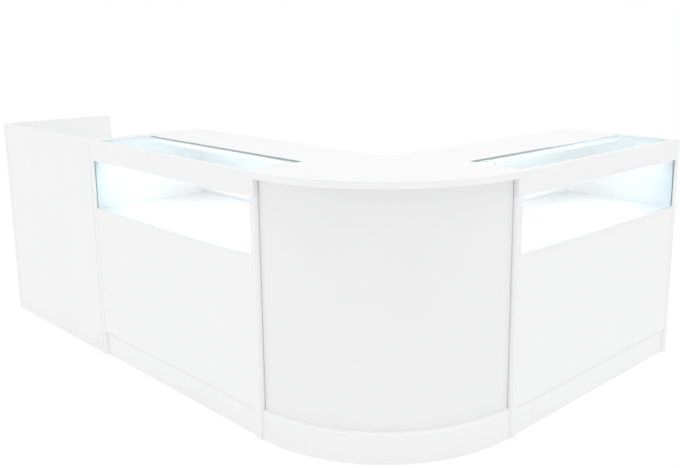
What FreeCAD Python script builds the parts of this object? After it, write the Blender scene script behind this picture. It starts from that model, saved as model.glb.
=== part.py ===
import FreeCAD, Part
import math
import os
import Sketcher
from FreeCAD import Placement, Rotation, Vector

# L-shaped shop counter of four units: a till block and a display unit stand in a row,
# a quarter-round corner unit turns the row, and a second display unit runs away from it.
# Millimetres. The origin is under the middle of the counter, on the floor, with z up.
# The left row runs along x with its front facing -y; the right unit's front faces +x.

os.makedirs("parts", exist_ok=True)
doc = FreeCAD.newDocument("shop_counter")

# Driving dimensions
SIZES = {
    # the counter as a whole
    "counter_height": 1000.0,
    "unit_depth": 580.0,
    "display_width": 1200.0,
    "till_width": 950.0,
    "corner_inner_radius": 70.0,
    # boards
    "gable_thickness": 25.0,
    "top_thickness": 25.0,
    "board_thickness": 18.0,
    "board_play": 0.5,
    "floor_gap": 4.0,
    "panel_reveal": 2.0,
    "plinth_height": 116.0,
    "plinth_setback": 12.0,
    "kick_setback": 40.0,
    # glazing of a display unit
    "rail_height": 90.0,
    "rail_thickness": 30.0,
    "window_height": 214.0,
    "top_glass_thickness": 8.0,
    "front_glass_thickness": 6.0,
    "glass_depth": 272.0,
    "glass_border": 55.0,
    "glass_seat": 9.0,
    "glass_play": 0.6,
    "groove_lip": 3.0,
    "groove_depth": 10.0,
    # sliding doors and their tracks
    "door_thickness": 10.0,
    "door_overlap": 30.0,
    "door_play": 0.5,
    "door_lift": 6.0,
    "track_wall": 2.0,
    "track_setback": 8.0,
    "track_height_lower": 8.0,
    "track_height_upper": 16.0,
    "pull_radius": 17.5,
    "pull_depth": 6.0,
    "pull_inset": 50.0,
    # light strip behind the front rail
    "light_width": 16.0,
    "light_height": 12.0,
    "light_drop": 40.0,
    # storage shelves and their pins
    "shelf_height": 400.0,
    "shelf_setback": 30.0,
    "pin_radius": 2.5,
    "pin_bite": 10.0,
    "pin_reach": 9.0,
    "pin_pitch": 32.0,
    "pin_inset": 80.0,
    # corner unit
    "curve_setback": 22.0,
    "curve_thickness": 8.0,
    "curve_plinth_thickness": 12.0,
    "curve_end_gap": 4.0,
    "corner_shelf_height": 420.0,
    "corner_shelf_setback": 40.0,
    # till block
    "till_recess": 200.0,
    "drawer_height": 120.0,
    "drawer_gap": 3.0,
    "drawer_side": 12.0,
    "drawer_box_height": 90.0,
    "drawer_floor": 6.0,
    "drawer_lift": 6.0,
    "runner_space": 13.0,
    "runner_height": 36.0,
    "runner_wall": 1.5,
    "runner_setback": 10.0,
    "slide_height": 28.0,
    "handle_length": 200.0,
    "handle_spacing": 160.0,
    "handle_reach": 30.0,
    "handle_radius": 6.0,
    "handle_post_radius": 5.0,
    "lock_radius": 9.0,
    "lock_collar": 2.0,
    "lock_cam_length": 32.0,
    "lock_cam_width": 12.0,
    "lock_cam_thickness": 2.0,
    "lock_bite": 10.0,
    "keyway_length": 9.0,
    "keyway_width": 2.0,
    "grommet_radius": 30.0,
    "grommet_wall": 3.0,
    "grommet_lip": 5.0,
    "grommet_lip_height": 2.0,
    "grommet_inset": 60.0,
    # fittings
    "fit_play": 0.1,
    "glide_radius": 8.0,
    "glide_inset": 60.0,
    "bolt_radius": 3.0,
    "bolt_head_radius": 7.0,
    "bolt_head_height": 2.5,
    "bolt_inset": 130.0,
    "bolt_low": 250.0,
    "bolt_high": 560.0,
    "end_hole_radius": 4.0,
    "cam_radius": 7.5,
    "cam_depth": 12.0,
    "cam_inset": 30.0,
    "cam_bolt_radius": 3.0,
    "cam_bolt_bite": 11.0,
    "cam_end_inset": 100.0,
}

PIN_STEPS = (-2, -1, 0, 1, 2)
HALF_SHARE = 0.5

sheet = doc.addObject("Spreadsheet::Sheet", "sizes")
for row, (alias, amount) in enumerate(SIZES.items(), start=1):
    sheet.set(f"A{row}", alias)
    sheet.set(f"B{row}", str(amount))
    sheet.setAlias(f"B{row}", alias)
doc.recompute()


class Length:
    """A length as a formula in the sheet's cells, with its present value."""

    def __init__(self, formula, amount):
        self.formula = formula
        self.amount = amount

    def joined(self, sign, other, amount):
        formula = other.formula if isinstance(other, Length) else repr(float(other))
        return Length(f"({self.formula} {sign} {formula})", amount)

    def __add__(self, other):
        return self.joined("+", other, self.amount + other.amount)

    def __sub__(self, other):
        return self.joined("-", other, self.amount - other.amount)

    def __mul__(self, share):
        return self.joined("*", share, self.amount * share)

    def __neg__(self):
        return Length(f"(-1 * {self.formula})", -self.amount)


class Sizes:
    """The sheet's cells by name, each as a Length."""

    def __getattr__(self, alias):
        return Length(f"sizes.{alias}", float(sheet.get(alias)))


class Unit:
    """A unit's own frame: u runs along its front, v from front to back, z up."""

    def __init__(self, x, y, quarter_turn):
        self.x = x
        self.y = y
        self.quarter_turn = quarter_turn

    def place(self, piece, u, v, z, spin=Rotation()):
        turn = Rotation(Vector(0, 0, 1), 90 if self.quarter_turn else 0)
        piece.Placement = Placement(Vector(), turn.multiply(spin))
        x = self.x - v if self.quarter_turn else self.x + u
        y = self.y + u if self.quarter_turn else self.y + v
        for axis, length in zip("xyz", (x, y, z)):
            piece.setExpression(f"Placement.Base.{axis}", length.formula)


s = Sizes()
ZERO = Length("0", 0.0)
ALONG_U = Rotation(Vector(0, 1, 0), 90)
ALONG_V = Rotation(Vector(1, 0, 0), -90)
ALONG_Z = Rotation()

# Heights and lines shared by several pieces
corner_size = s.unit_depth + s.corner_inner_radius
half_x = (s.till_width + s.display_width + corner_size) * HALF_SHARE
half_y = (corner_size + s.display_width) * HALF_SHARE
gable_top = s.counter_height - s.top_thickness
rail_bottom = s.counter_height - s.rail_height
sill = rail_bottom - s.window_height
base_top = s.plinth_height + s.board_thickness
panel_back = s.panel_reveal + s.board_thickness
glass_front = s.panel_reveal + s.groove_lip
groove_width = s.front_glass_thickness + s.glass_play
groove_back = glass_front + groove_width
curve_outer = corner_size - s.curve_setback
curve_inner = curve_outer - s.curve_thickness
till_top = s.counter_height - s.till_recess
till_top_underside = till_top - s.top_thickness

till = Unit(-half_x, -half_y, False)
left = Unit(s.till_width - half_x, -half_y, False)
right = Unit(half_x, corner_size - half_y, True)
corner = Unit(half_x - corner_size, corner_size - half_y, False)

nodes = {}
drillings = {}
groups = {"floor_glides": [], "shelf_pins": [], "unit_bolts": [], "cam_fittings": []}


# Shapes

def box(name, unit, at, size):
    """A straight block from its near lower corner."""
    piece = doc.addObject("Part::Box", name)
    for side, length in zip(("Length", "Width", "Height"), size):
        piece.setExpression(side, length.formula)
    unit.place(piece, *at)
    return piece


def rod(name, unit, at, radius, length, along=ALONG_Z):
    """A round bar from the middle of its first end."""
    piece = doc.addObject("Part::Cylinder", name)
    piece.setExpression("Radius", radius.formula)
    piece.setExpression("Height", length.formula)
    unit.place(piece, *at, along)
    return piece


def fuse(name, pieces):
    whole = doc.addObject("Part::MultiFuse", name)
    whole.Shapes = pieces
    return whole


def cut(name, blank, tools):
    """The blank with the tools taken out of it."""
    piece = doc.addObject("Part::Cut", name)
    piece.Base = blank
    piece.Tool = tools[0] if len(tools) == 1 else fuse(f"{name}_tools", tools)
    return piece


def sketch_on(body, role):
    """An empty sketch on one of the body's own origin planes."""
    sketch = body.newObject("Sketcher::SketchObject", f"{body.Name}_outline")
    plane = next(f for f in body.Origin.OriginFeatures if f.Role == role)
    sketch.AttachmentSupport = [(plane, "")]
    sketch.MapMode = "FlatFace"
    return sketch


def pin_point(sketch, edge, end, across, up):
    """Holds one end of an edge at formula-driven distances from the sketch's origin."""
    for kind, axis, length in (("DistanceX", -2, across), ("DistanceY", -1, up)):
        if length is ZERO:
            sketch.addConstraint(Sketcher.Constraint("PointOnObject", edge, end, axis))
            continue
        held = Sketcher.Constraint(kind, -1, 1, edge, end, length.amount)
        sketch.setExpression(f"Constraints[{sketch.addConstraint(held)}]", length.formula)


def padded(body, sketch, length):
    pad = body.newObject("PartDesign::Pad", f"{body.Name}_pad")
    pad.Profile = sketch
    pad.setExpression("Length", length.formula)
    body.Tip = pad


def profile(name, unit, at, points, length):
    """A section in v and z, drawn from points and run along u."""
    body = doc.addObject("PartDesign::Body", name)
    sketch = sketch_on(body, "YZ_Plane")
    corners = [Vector(v.amount, z.amount, 0) for v, z in points]
    count = len(corners)
    for i in range(count):
        sketch.addGeometry(Part.LineSegment(corners[i], corners[(i + 1) % count]), False)
    for i, (v, z) in enumerate(points):
        sketch.addConstraint(Sketcher.Constraint("Coincident", i - 1 if i else count - 1, 2, i, 1))
        pin_point(sketch, i, 1, v, z)
    padded(body, sketch, length)
    unit.place(body, *at)
    return body


def sector(name, inner, outer, inset, z, height):
    """A quarter ring about the corner's inner centre, its straight ends set in from the units."""
    body = doc.addObject("PartDesign::Body", name)
    sketch = sketch_on(body, "XY_Plane")
    ends = []
    for radius in (outer, inner):
        lean = math.asin(inset.amount / radius.amount)
        circle = Part.Circle(Vector(), Vector(0, 0, 1), radius.amount)
        arc = sketch.addGeometry(Part.ArcOfCircle(circle, lean - math.pi / 2, -lean), False)
        sketch.addConstraint(Sketcher.Constraint("Coincident", arc, 3, -1, 1))
        held = sketch.addConstraint(Sketcher.Constraint("Radius", arc, radius.amount))
        sketch.setExpression(f"Constraints[{held}]", radius.formula)
        across = math.sqrt(radius.amount ** 2 - inset.amount ** 2)
        ends.append((Vector(inset.amount, -across, 0), Vector(across, -inset.amount, 0)))
    for end, kind, axis, length in ((0, "DistanceX", -2, inset), (1, "DistanceY", -1, -inset)):
        edge = sketch.addGeometry(Part.LineSegment(ends[0][end], ends[1][end]), False)
        for arc in (0, 1):
            sketch.addConstraint(Sketcher.Constraint("Coincident", edge, arc + 1, arc, end + 1))
            if inset is ZERO:
                sketch.addConstraint(Sketcher.Constraint("PointOnObject", arc, end + 1, axis))
                continue
            held = Sketcher.Constraint(kind, -1, 1, arc, end + 1, length.amount)
            sketch.setExpression(f"Constraints[{sketch.addConstraint(held)}]", length.formula)
    padded(body, sketch, height)
    corner.place(body, ZERO, ZERO, z)
    return body


def node(label, piece):
    """Marks a piece as one of the counter's own, under the name it is written out by."""
    nodes[label] = piece
    drillings[label] = []


# Fittings: each makes its own solid and the holes it needs

def drill(label, unit, at, radius, length, along):
    """A hole in a piece, kept until all holes of that piece are known."""
    tool = rod(f"{label}_hole", unit, at, radius, length, along)
    drillings[label].append(tool)


def glides(unit, u_middle):
    for v in (s.glide_inset, s.unit_depth - s.glide_inset):
        foot = rod("glide", unit, (u_middle, v, ZERO), s.glide_radius, s.floor_gap)
        groups["floor_glides"].append(foot)


def bolt_places():
    for v in (s.bolt_inset, s.unit_depth - s.bolt_inset):
        for z in (s.bolt_low, s.bolt_high):
            yield v, z


def join_units(unit, u_joint, before, depth_before, after, depth_after):
    """Bolts with a head at each end, through the two boards that meet at a joint."""
    u_start = u_joint - depth_before
    grip = depth_before + depth_after
    for v, z in bolt_places():
        at = (u_start, v, z)
        drill(before, unit, at, s.bolt_radius + s.fit_play, depth_before, ALONG_U)
        drill(after, unit, (u_joint, v, z), s.bolt_radius + s.fit_play, depth_after, ALONG_U)
        shank = rod("shank", unit, at, s.bolt_radius, grip, ALONG_U)
        heads = []
        for u in (u_start - s.bolt_head_height, u_start + grip):
            heads.append(rod("head", unit, (u, v, z), s.bolt_head_radius, s.bolt_head_height, ALONG_U))
        groups["unit_bolts"].append(fuse("bolt", [shank] + heads))


def free_end(unit, label, u, depth):
    """Open holes at the same places, for the bolt sleeves of a further unit."""
    for v, z in bolt_places():
        drill(label, unit, (u, v, z), s.end_hole_radius, depth, ALONG_U)


def cam_join(unit, board, gable, u_face, gable_after, places, z_under):
    """Cam discs in a board's underside and the bolts that tie its end to a gable."""
    for v in places:
        z_bolt = z_under + s.cam_depth * HALF_SHARE
        u_cam = u_face - s.cam_inset if gable_after else u_face + s.cam_inset
        u_hole = u_face if gable_after else u_face - s.cam_bolt_bite
        u_channel = u_cam if gable_after else u_face
        u_bolt = u_cam + s.cam_radius if gable_after else u_face - s.cam_bolt_bite
        hole_radius = s.cam_bolt_radius + s.fit_play
        bolt_length = s.cam_bolt_bite + s.cam_inset - s.cam_radius
        drill(board, unit, (u_cam, v, z_under), s.cam_radius + s.fit_play, s.cam_depth, ALONG_Z)
        drill(board, unit, (u_channel, v, z_bolt), hole_radius, s.cam_inset, ALONG_U)
        drill(gable, unit, (u_hole, v, z_bolt), hole_radius, s.cam_bolt_bite, ALONG_U)
        disc = rod("cam", unit, (u_cam, v, z_under), s.cam_radius, s.cam_depth)
        bolt = rod("cam_bolt", unit, (u_bolt, v, z_bolt), s.cam_bolt_radius, bolt_length, ALONG_U)
        groups["cam_fittings"].append(disc)
        groups["cam_fittings"].append(bolt)


def shelf_pins(unit, gable_first, u_first, gable_last, u_last):
    """Four pins under a shelf, each in one of a column of spare holes."""
    z_pin = s.shelf_height - s.board_thickness - s.pin_radius
    hole_radius = s.pin_radius + s.fit_play
    for v in (s.pin_inset, s.unit_depth - s.pin_inset):
        for step in PIN_STEPS:
            z = z_pin + s.pin_pitch * step
            drill(gable_first, unit, (u_first - s.pin_bite, v, z), hole_radius, s.pin_bite, ALONG_U)
            drill(gable_last, unit, (u_last, v, z), hole_radius, s.pin_bite, ALONG_U)
        for u in (u_first - s.pin_bite, u_last - s.pin_reach):
            pin = rod("pin", unit, (u, v, z_pin), s.pin_radius, s.pin_bite + s.pin_reach, ALONG_U)
            groups["shelf_pins"].append(pin)


def cam_places():
    return (s.cam_end_inset, s.unit_depth - s.cam_end_inset)


# Display unit

def display_unit(side, unit):
    """A gable at each end, glass above, storage below, and sliding doors at the back."""
    u_first = s.gable_thickness
    u_last = s.display_width - s.gable_thickness
    clear = u_last - u_first
    name = f"{side}_display"

    gable_outline = [
        (ZERO, s.floor_gap),
        (s.unit_depth, s.floor_gap),
        (s.unit_depth, gable_top),
        (s.rail_thickness, gable_top),
        (s.rail_thickness, rail_bottom),
        (ZERO, rail_bottom),
    ]
    for end, u in (("left", ZERO), ("right", u_last)):
        gable = profile(f"{name}_gable_{end}_blank", unit, (u, ZERO, ZERO), gable_outline, s.gable_thickness)
        node(f"{name}_gable_{end}", gable)
        glides(unit, u + s.gable_thickness * HALF_SHARE)

    # the rail carries the front glass in a groove below and the top glass in a rebate above,
    # both stopped short of the rail's ends
    seat = s.counter_height - s.top_glass_thickness
    rebate = s.rail_thickness - s.glass_seat
    rail_blank = box(
        f"{name}_rail_blank", unit,
        (ZERO, ZERO, rail_bottom),
        (s.display_width, s.rail_thickness, s.rail_height),
    )
    rail_groove = box(
        f"{name}_rail_groove", unit,
        (u_first, glass_front, rail_bottom),
        (clear, groove_width, s.groove_depth),
    )
    rail_rebate = box(
        f"{name}_rail_rebate", unit,
        (s.glass_border, rebate, seat),
        (s.display_width - s.glass_border * 2, s.glass_seat, s.top_glass_thickness),
    )
    node(f"{name}_front_rail", cut(f"{name}_rail", rail_blank, [rail_groove, rail_rebate]))

    groove_bottom = sill - s.groove_depth
    panel_outline = [
        (s.panel_reveal, s.plinth_height),
        (panel_back, s.plinth_height),
        (panel_back, sill),
        (groove_back, sill),
        (groove_back, groove_bottom),
        (glass_front, groove_bottom),
        (glass_front, sill),
        (s.panel_reveal, sill),
    ]
    node(f"{name}_front_panel", profile(f"{name}_panel", unit, (u_first, ZERO, ZERO), panel_outline, clear))

    front_glass_at = (u_first + s.glass_play, glass_front + s.glass_play * HALF_SHARE, groove_bottom)
    front_glass_size = (
        clear - s.glass_play * 2,
        s.front_glass_thickness,
        s.window_height + s.groove_depth * 2 - s.glass_play,
    )
    node(f"{name}_front_glass", box(f"{name}_front_pane", unit, front_glass_at, front_glass_size))

    # the top board reaches forward on both sides of the top glass
    top_depth = s.unit_depth - s.rail_thickness
    board = box(
        f"{name}_top_blank", unit,
        (ZERO, s.rail_thickness, gable_top),
        (s.display_width, top_depth, s.top_thickness),
    )
    opening = box(
        f"{name}_top_opening", unit,
        (s.glass_border + s.glass_seat, s.rail_thickness, gable_top),
        (
            s.display_width - (s.glass_border + s.glass_seat) * 2,
            s.glass_depth - s.glass_seat - s.rail_thickness,
            s.top_thickness,
        ),
    )
    glass_bed = box(
        f"{name}_glass_bed", unit,
        (s.glass_border, s.rail_thickness, seat),
        (
            s.display_width - s.glass_border * 2,
            s.glass_depth - s.rail_thickness,
            s.top_glass_thickness,
        ),
    )
    node(f"{name}_top_board", cut(f"{name}_top", board, [opening, glass_bed]))
    top_glass_at = (s.glass_border + s.glass_play, rebate + s.glass_play, seat)
    top_glass_size = (
        s.display_width - (s.glass_border + s.glass_play) * 2,
        s.glass_depth - rebate - s.glass_play * 2,
        s.top_glass_thickness,
    )
    node(f"{name}_top_glass", box(f"{name}_top_pane", unit, top_glass_at, top_glass_size))

    light_at = (u_first, s.rail_thickness, s.counter_height - s.light_drop)
    node(f"{name}_light_strip", box(f"{name}_light", unit, light_at, (clear, s.light_width, s.light_height)))

    node(f"{name}_plinth", box(
        f"{name}_plinth_board", unit,
        (u_first, s.plinth_setback, s.floor_gap),
        (clear, s.board_thickness, s.plinth_height - s.floor_gap),
    ))
    node(f"{name}_kick", box(
        f"{name}_kick_board", unit,
        (u_first, s.unit_depth - s.kick_setback - s.board_thickness, s.floor_gap),
        (clear, s.board_thickness, s.plinth_height - s.floor_gap),
    ))

    # the deck is the floor of the glazed space; the base is the floor of the storage
    for part, z_top in (("deck", sill), ("base", base_top)):
        z_under = z_top - s.board_thickness
        label = f"{name}_{part}"
        node(label, box(
            f"{label}_blank", unit,
            (u_first, panel_back, z_under),
            (clear, s.unit_depth - panel_back, s.board_thickness),
        ))
        cam_join(unit, label, f"{name}_gable_left", u_first, False, cam_places(), z_under)
        cam_join(unit, label, f"{name}_gable_right", u_last, True, cam_places(), z_under)

    node(f"{name}_shelf", box(
        f"{name}_shelf_board", unit,
        (u_first + s.board_play, panel_back + s.board_play, s.shelf_height - s.board_thickness),
        (
            clear - s.board_play * 2,
            s.unit_depth - s.shelf_setback - panel_back - s.board_play,
            s.board_thickness,
        ),
    ))
    shelf_pins(unit, f"{name}_gable_left", u_first, f"{name}_gable_right", u_last)

    # two channels side by side, on the deck and under the top board
    channel = s.door_thickness + s.door_play * 2
    track_width = s.track_wall * 3 + channel * 2
    v_track = s.unit_depth - s.track_setback - track_width
    walls = (v_track, v_track + s.track_wall + channel, v_track + (s.track_wall + channel) * 2)
    for part, z_web, z_tip in (
        ("track_lower", sill, sill + s.track_height_lower),
        ("track_upper", gable_top, gable_top - s.track_height_upper),
    ):
        z_floor = z_web + s.track_wall if part == "track_lower" else z_web - s.track_wall
        outline = [
            (walls[0], z_web),
            (walls[0], z_tip),
            (walls[0] + s.track_wall, z_tip),
            (walls[0] + s.track_wall, z_floor),
            (walls[1], z_floor),
            (walls[1], z_tip),
            (walls[1] + s.track_wall, z_tip),
            (walls[1] + s.track_wall, z_floor),
            (walls[2], z_floor),
            (walls[2], z_tip),
            (walls[2] + s.track_wall, z_tip),
            (walls[2] + s.track_wall, z_web),
        ]
        node(f"{name}_{part}", profile(f"{name}_{part}_bar", unit, (u_first, ZERO, ZERO), outline, clear))

    # each door runs in its own channel and covers a little over half of the width
    door_width = (clear + s.door_overlap) * HALF_SHARE
    door_bottom = sill + s.track_wall
    door_height = gable_top - s.track_wall - s.door_lift - door_bottom
    door_places = (
        ("left", u_first + s.door_play, walls[1] + s.track_wall + s.door_play, False),
        ("right", u_last - s.door_play - door_width, walls[0] + s.track_wall + s.door_play, True),
    )
    for hand, u, v, pull_at_end in door_places:
        leaf = box(
            f"{name}_door_{hand}_leaf", unit,
            (u, v, door_bottom),
            (door_width, s.door_thickness, door_height),
        )
        u_pull = u + door_width - s.pull_inset if pull_at_end else u + s.pull_inset
        pull = rod(
            f"{name}_pull", unit,
            (u_pull, v + s.door_thickness - s.pull_depth, door_bottom + door_height * HALF_SHARE),
            s.pull_radius, s.pull_depth, ALONG_V,
        )
        node(f"{name}_door_{hand}", cut(f"{name}_door_{hand}_cut", leaf, [pull]))


display_unit("left", left)
display_unit("right", right)


# Corner unit

corner_gables = (
    ("corner_gable_left", left, s.display_width),
    ("corner_gable_right", right, -s.board_thickness),
)
for label, unit, u in corner_gables:
    v_front = corner_size - curve_inner + s.board_play
    node(label, box(
        f"{label}_blank", unit,
        (u, v_front, s.floor_gap),
        (s.board_thickness, s.unit_depth - v_front, gable_top - s.floor_gap),
    ))
    glides(unit, u + s.board_thickness * HALF_SHARE)

node("corner_worktop", sector(
    "corner_worktop_board", s.corner_inner_radius, corner_size, ZERO, gable_top, s.top_thickness,
))
node("corner_front_panel", sector(
    "corner_curved_panel", curve_inner, curve_outer, s.curve_end_gap, s.floor_gap, gable_top - s.floor_gap,
))
node("corner_plinth", sector(
    "corner_curved_plinth", curve_outer, curve_outer + s.curve_plinth_thickness,
    ZERO, s.floor_gap, s.plinth_height - s.floor_gap,
))
for part, z_top in (("base", base_top), ("shelf", s.corner_shelf_height)):
    z_under = z_top - s.board_thickness
    label = f"corner_{part}"
    node(label, sector(
        f"{label}_blank", s.corner_inner_radius + s.corner_shelf_setback, curve_inner - s.board_play,
        s.board_thickness, z_under, s.board_thickness,
    ))
    u_left = s.display_width + s.board_thickness
    cam_join(left, label, "corner_gable_left", u_left, False, cam_places(), z_under)
    cam_join(right, label, "corner_gable_right", -s.board_thickness, True, cam_places(), z_under)


# Till block

till_first = s.gable_thickness
till_last = s.till_width - s.gable_thickness
till_clear = till_last - till_first
for label, u in (("till_end_panel", ZERO), ("till_side_panel", till_last)):
    node(label, box(
        f"{label}_blank", till,
        (u, ZERO, s.floor_gap),
        (s.gable_thickness, s.unit_depth, s.counter_height - s.floor_gap),
    ))
    glides(till, u + s.gable_thickness * HALF_SHARE)
node("till_front_panel", box(
    "till_front_board", till,
    (till_first, s.panel_reveal, s.floor_gap),
    (till_clear, s.board_thickness, s.counter_height - s.floor_gap),
))
for part, z_under, thickness in (
    ("worktop", till_top_underside, s.top_thickness),
    ("base", s.plinth_height, s.board_thickness),
):
    label = f"till_{part}"
    node(label, box(
        f"{label}_blank", till,
        (till_first, panel_back, z_under),
        (till_clear, s.unit_depth - panel_back, thickness),
    ))
    cam_join(till, label, "till_end_panel", till_first, False, cam_places(), z_under)
    cam_join(till, label, "till_side_panel", till_last, True, cam_places(), z_under)
node("till_shelf", box(
    "till_shelf_board", till,
    (till_first + s.board_play, panel_back + s.board_play, s.shelf_height - s.board_thickness),
    (
        till_clear - s.board_play * 2,
        s.unit_depth - s.shelf_setback - panel_back - s.board_play,
        s.board_thickness,
    ),
))
shelf_pins(till, "till_end_panel", till_first, "till_side_panel", till_last)
node("till_kick", box(
    "till_kick_board", till,
    (till_first, s.unit_depth - s.kick_setback - s.board_thickness, s.floor_gap),
    (till_clear, s.board_thickness, s.plinth_height - s.floor_gap),
))

# a grommet lines the cable hole in front of the drawer
grommet_reach = s.grommet_radius + s.grommet_lip
grommet_at = (till_last - s.grommet_inset, panel_back + grommet_reach)
drill("till_worktop", till, (*grommet_at, till_top_underside), s.grommet_radius, s.top_thickness, ALONG_Z)
sleeve = rod("grommet_sleeve", till, (*grommet_at, till_top_underside), s.grommet_radius, s.top_thickness)
lip = rod("grommet_rim", till, (*grommet_at, till_top), grommet_reach, s.grommet_lip_height)
bore = rod(
    "grommet_bore", till, (*grommet_at, till_top_underside),
    s.grommet_radius - s.grommet_wall, s.top_thickness + s.grommet_lip_height,
)
node("till_cable_grommet", cut("grommet", fuse("grommet_blank", [sleeve, lip]), [bore]))

# drawer: a front across the block, a box behind it, and a slide on each side
front_back = s.unit_depth - s.panel_reveal
front_face = front_back - s.board_thickness
front_top = till_top_underside - s.drawer_gap
front_bottom = front_top - s.drawer_height
drawer_front = box(
    "till_drawer_front_blank", till,
    (till_first + s.drawer_gap, front_face, front_bottom),
    (till_clear - s.drawer_gap * 2, s.board_thickness, s.drawer_height),
)
node("till_drawer_front", drawer_front)

box_first = till_first + s.runner_space
box_bottom = front_bottom + s.drawer_lift
box_width = till_clear - s.runner_space * 2
box_start = panel_back + grommet_reach * 2
drawer_length = front_face - box_start
runner_length = drawer_length - s.runner_setback
box_inner = box_width - s.drawer_side * 2
sides = []
for u in (box_first, box_first + box_width - s.drawer_side):
    sides.append(box(
        "drawer_side_board", till, (u, box_start, box_bottom),
        (s.drawer_side, drawer_length, s.drawer_box_height),
    ))
rear = box(
    "drawer_rear_board", till, (box_first + s.drawer_side, box_start, box_bottom),
    (box_inner, s.drawer_side, s.drawer_box_height),
)
floor = box(
    "drawer_floor_board", till,
    (box_first + s.drawer_side, box_start + s.drawer_side, box_bottom),
    (box_inner, drawer_length - s.drawer_side, s.drawer_floor),
)
drawer_box = doc.addObject("Part::Compound", "drawer_boards")
drawer_box.Links = sides + [rear, floor]
node("till_drawer_box", drawer_box)

runner_middle = box_bottom + s.drawer_box_height * HALF_SHARE
runner_low = runner_middle - s.runner_height * HALF_SHARE
slide_low = runner_middle - s.slide_height * HALF_SHARE
channel_depth = s.runner_space - s.runner_wall
slide_depth = channel_depth - s.runner_wall
v_runner = front_face - runner_length
runners = []
slides = []
for u_wall, u_space, u_slide in (
    (till_first, till_first + s.runner_wall, box_first - slide_depth),
    (till_last - s.runner_wall, till_last - channel_depth, box_first + box_width),
):
    wall = box(
        "runner_wall", till, (u_wall, v_runner, runner_low),
        (s.runner_wall, runner_length, s.runner_height),
    )
    flanges = []
    for z in (runner_low, runner_low + s.runner_height - s.runner_wall):
        flanges.append(box(
            "runner_flange", till, (u_space, v_runner, z),
            (channel_depth - s.runner_wall, runner_length, s.runner_wall),
        ))
    runners.append(fuse("runner", [wall] + flanges))
    slides.append(box(
        "slide", till, (u_slide, v_runner, slide_low),
        (slide_depth, runner_length, s.slide_height),
    ))
for label, members in (("till_drawer_runners", runners), ("till_drawer_slides", slides)):
    pair = doc.addObject("Part::Compound", f"{label}_pair")
    pair.Links = members
    node(label, pair)

# bar handle on two posts
till_middle = s.till_width * HALF_SHARE
handle_z = front_bottom + s.drawer_height * HALF_SHARE
bar = rod(
    "handle_bar", till,
    (till_middle - s.handle_length * HALF_SHARE, front_back + s.handle_reach, handle_z),
    s.handle_radius, s.handle_length, ALONG_U,
)
posts = []
for side in (-HALF_SHARE, HALF_SHARE):
    posts.append(rod(
        "handle_post", till, (till_middle + s.handle_spacing * side, front_back, handle_z),
        s.handle_post_radius, s.handle_reach, ALONG_V,
    ))
node("till_drawer_handle", fuse("handle", [bar] + posts))

# the lock's plug turns in the drawer front and swings its cam up into a slot of the worktop
lock_z = till_top_underside + s.lock_bite - s.lock_cam_length
v_cam = front_face - s.lock_cam_thickness - s.board_play
v_collar = front_back + s.lock_collar
drill("till_drawer_front", till, (till_middle, front_face, lock_z), s.lock_radius + s.fit_play,
      s.board_thickness, ALONG_V)
plug = rod(
    "lock_plug", till, (till_middle, v_cam, lock_z),
    s.lock_radius, v_collar - v_cam, ALONG_V,
)
cam = box(
    "lock_cam", till, (till_middle, v_cam, lock_z - s.lock_cam_width * HALF_SHARE),
    (s.lock_cam_length, s.lock_cam_thickness, s.lock_cam_width),
)
keyway = box(
    "lock_keyway", till,
    (till_middle - s.keyway_width * HALF_SHARE, front_back, lock_z - s.keyway_length * HALF_SHARE),
    (s.keyway_width, s.lock_collar, s.keyway_length),
)
node("till_drawer_lock", cut("lock", fuse("lock_blank", [plug, cam]), [keyway]))
slot_half = s.lock_cam_length
drillings["till_worktop"].append(box(
    "lock_slot", till,
    (till_middle - slot_half, v_cam - s.lock_cam_thickness, till_top_underside),
    (slot_half * 2, s.lock_cam_thickness * 3, s.lock_bite + s.lock_cam_thickness),
))


# Joints between units, and the free ends

join_units(till, s.till_width, "till_side_panel", s.gable_thickness,
           "left_display_gable_left", s.gable_thickness)
join_units(left, s.display_width, "left_display_gable_right", s.gable_thickness,
           "corner_gable_left", s.board_thickness)
join_units(right, ZERO, "corner_gable_right", s.board_thickness,
           "right_display_gable_left", s.gable_thickness)
free_end(till, "till_end_panel", ZERO, s.gable_thickness)
free_end(right, "right_display_gable_right", s.display_width - s.gable_thickness, s.gable_thickness)

for label, tools in drillings.items():
    if tools:
        nodes[label] = cut(f"{label}_drilled", nodes[label], tools)
for label, members in groups.items():
    group = doc.addObject("Part::Compound", f"{label}_group")
    group.Links = members
    nodes[label] = group


# Check every piece, then write each under its own name

doc.recompute()
faults = []
for item in doc.Objects:
    if "Invalid" in item.State or "Error" in item.State:
        faults.append(f"{item.Label}: {item.State}")
for label, piece in nodes.items():
    piece.Label = label
    shape = piece.Shape
    if shape.isNull() or not shape.isValid() or not shape.Solids:
        faults.append(f"{label}: no valid solid")
if faults:
    raise RuntimeError("; ".join(faults))
for label, piece in nodes.items():
    piece.Shape.exportStep(f"parts/{label}.step")
print(f"{len(nodes)} pieces written")
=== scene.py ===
# %% [markdown]
# # Dressing a white shop counter
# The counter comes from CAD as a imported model: boards, glass, doors and fittings, each a
# node that already stands in its place. This lesson loads it, sets up the picture, and then
# gives every node its finish. Glass, lights and small fittings get finer pieces of their own.

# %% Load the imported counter
import math

import bmesh
import bpy
from mathutils import Matrix, Vector


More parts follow.
